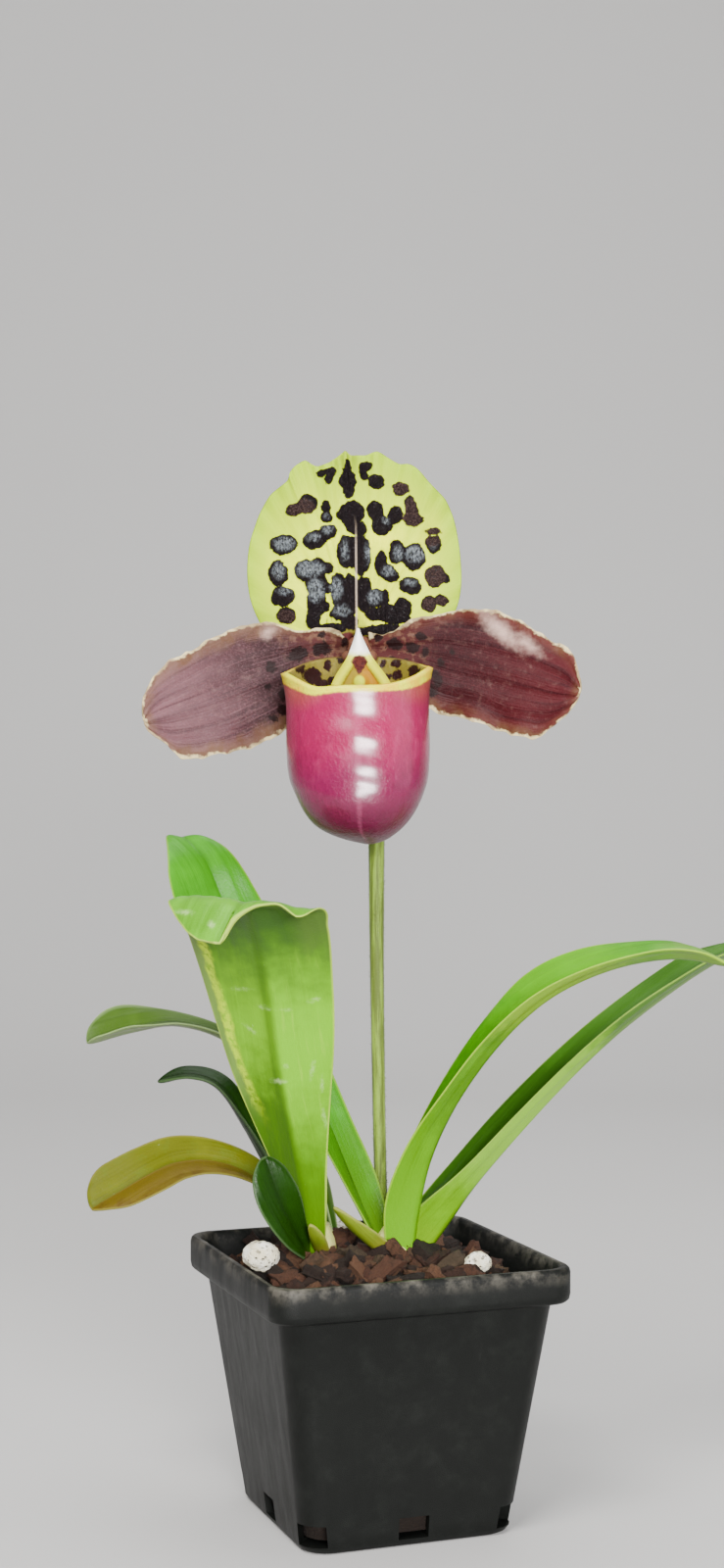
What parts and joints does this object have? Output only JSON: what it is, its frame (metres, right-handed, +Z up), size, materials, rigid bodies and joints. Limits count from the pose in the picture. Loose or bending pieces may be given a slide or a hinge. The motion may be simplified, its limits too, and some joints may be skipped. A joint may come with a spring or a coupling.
{
  "type": "potted slipper orchid",
  "caption": "Slipper orchid in flower: a spotted dorsal sepal, two ruffled petals and a glossy pouch on one stalk above folded strap leaves, in a small square pot of bark mix",
  "frame": {"origin": "middle of the pot's underside", "axes": "+Z up; the flower faces -Y; +X is to the right of someone who looks the flower in the face"},
  "size_m": [0.1134, 0.0782, 0.1729],
  "materials": {
    "pot_plastic": "satin",
    "bark": "matte",
    "pumice": "matte",
    "shoot_pale": "satin",
    "leaf_green": "satin",
    "leaf_dark": "satin",
    "leaf_yellow": "satin",
    "stalk": "matte",
    "sepal": "satin",
    "sepal_pale": "satin",
    "petal": "satin",
    "pouch": "gloss",
    "column": "gloss"
  },
  "bodies": {
    "root": {"pot": "pot_plastic", "bark_mix": "bark", "pumice_front": "pumice", "pumice_right": "pumice", "pumice_back": "pumice", "rhizome": "shoot_pale", "sheath_main": "shoot_pale", "sheath_left": "shoot_pale", "leaf_fold": "leaf_green", "leaf_back": "leaf_green", "leaf_arch": "leaf_green", "leaf_long": "leaf_green", "leaf_side_upper": "leaf_green", "leaf_side_dark": "leaf_dark", "leaf_young": "leaf_dark", "leaf_yellow": "leaf_yellow", "scape": "stalk", "ovary": "stalk", "bract": "stalk", "dorsal_sepal": "sepal", "synsepal": "sepal_pale", "petal_left": "petal", "petal_right": "petal", "pouch": "pouch", "column": "column"}
  },
  "joints": []
}
